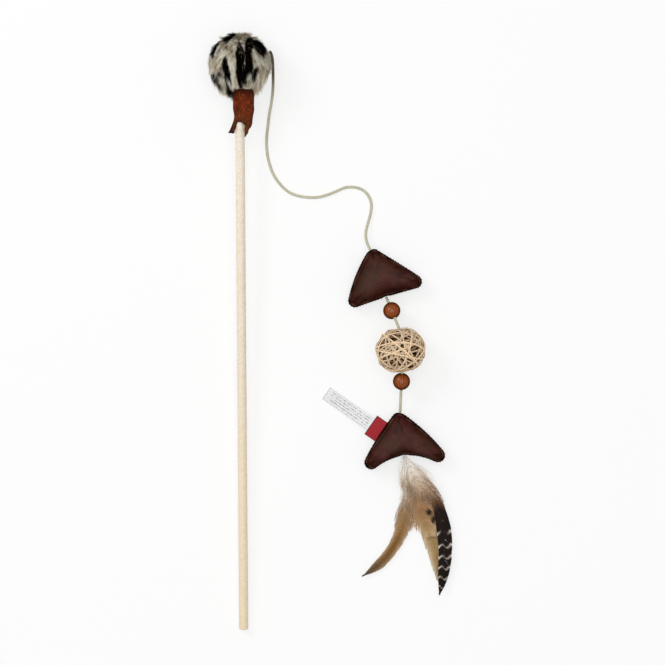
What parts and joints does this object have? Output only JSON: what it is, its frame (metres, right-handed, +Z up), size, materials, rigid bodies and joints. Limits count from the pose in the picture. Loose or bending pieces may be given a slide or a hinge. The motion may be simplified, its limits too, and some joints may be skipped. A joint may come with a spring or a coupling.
{
  "type": "feather cat wand",
  "caption": "Cat teaser: a wooden stick with a fur pompom and leather collar, and a cord carrying stuffed leather triangles, wooden beads, a rattan ball and a bunch of feathers.",
  "frame": {"origin": "middle of the laid-out toy on the floor, without its free cord", "axes": "+Y from the stick's butt towards the pompom, +X towards the cord's toys, +Z up from the floor"},
  "size_m": [0.2085, 0.5198, 0.0524],
  "materials": {
    "pale_wood": "bare sanded dowel",
    "red_brown_leather": "mottled, matt",
    "cream_fur": "short fur with dark streaks",
    "white_filling": "loose wadding",
    "binding_thread": "twisted thread",
    "pale_cord": "round woven cord",
    "dark_brown_leather": "smooth, soft sheen",
    "stained_bead_wood": "stained and lacquered",
    "rattan": "bare split cane",
    "white_satin": "woven satin ribbon",
    "red_satin": "woven satin ribbon",
    "buff_feather": "feather",
    "ginger_feather": "feather",
    "brown_feather": "feather with dark spots",
    "barred_feather": "feather, black with light bars",
    "white_down": "down",
    "cream_down": "down"
  },
  "bodies": {
    "wand": {"stick": "pale_wood", "collar": "red_brown_leather", "pompom_cover": "cream_fur", "pompom_filling": "white_filling", "neck_binding": "binding_thread", "anchor_cord": "pale_cord"},
    "free_cord": {"upper_cord": "pale_cord"},
    "upper_triangle": {"upper_triangle_front_panel": "dark_brown_leather", "upper_triangle_back_panel": "dark_brown_leather", "upper_triangle_filling": "white_filling", "upper_triangle_cord": "pale_cord"},
    "toy_cord": {"lower_cord": "pale_cord"},
    "bead_above_ball": {"upper_bead": "stained_bead_wood"},
    "ball": {"rattan_ball": "rattan"},
    "bead_below_ball": {"lower_bead": "stained_bead_wood"},
    "lower_triangle": {"lower_triangle_front_panel": "dark_brown_leather", "lower_triangle_back_panel": "dark_brown_leather", "lower_triangle_filling": "white_filling", "lower_triangle_cord": "pale_cord"},
    "labels": {"care_label": "white_satin", "side_label": "red_satin"},
    "feather_bunch": {"feather_binding": "binding_thread", "feather_barred": "barred_feather", "feather_ginger": "ginger_feather", "feather_buff": "buff_feather", "feather_brown": "brown_feather", "feather_down_left": "white_down", "feather_down_right": "cream_down"}
  },
  "joints": [
    {"name": "cord_swing", "type": "hinge", "parent": "wand", "child": "free_cord", "pos_m": [-0.05204, 0.24344, 0.02645], "axis": [0, 0, 1], "range_deg": [0, 150]},
    {"name": "upper_triangle_swing", "type": "hinge", "parent": "free_cord", "child": "upper_triangle", "pos_m": [0.03486, 0.07184, 0.0105], "axis": [0, 0, 1], "range_deg": [-8, 30]},
    {"name": "lower_cord_swing", "type": "hinge", "parent": "upper_triangle", "child": "toy_cord", "pos_m": [0.04937, 0.02952, 0.0105], "axis": [0, 0, 1], "range_deg": [-4, 20]},
    {"name": "upper_bead_slide", "type": "slide", "parent": "toy_cord", "child": "bead_above_ball", "axis": [0.3411, -0.857, 0.3863], "range_m": [-0.003, 0.008]},
    {"name": "ball_spin", "type": "hinge", "parent": "toy_cord", "child": "ball", "pos_m": [0.06123, -0.01632, 0.0224], "axis": [0.0698, -0.9976, 0], "continuous": true},
    {"name": "lower_bead_slide", "type": "slide", "parent": "toy_cord", "child": "bead_below_ball", "axis": [-0.0379, -0.9434, -0.3296], "range_m": [0, 0.013]},
    {"name": "lower_triangle_swing", "type": "hinge", "parent": "toy_cord", "child": "lower_triangle", "pos_m": [0.06122, -0.06982, 0.0105], "axis": [0, 0, 1], "range_deg": [-5, 30]},
    {"name": "label_fold", "type": "hinge", "parent": "lower_triangle", "child": "labels", "pos_m": [0.04384, -0.08687, 0.0114], "axis": [0.5736, 0.8191, 0], "range_deg": [0, 85]},
    {"name": "feather_swing", "type": "hinge", "parent": "lower_triangle", "child": "feather_bunch", "pos_m": [0.06502, -0.10855, 0.0105], "axis": [0, 0, 1], "range_deg": [-8, 10]}
  ]
}
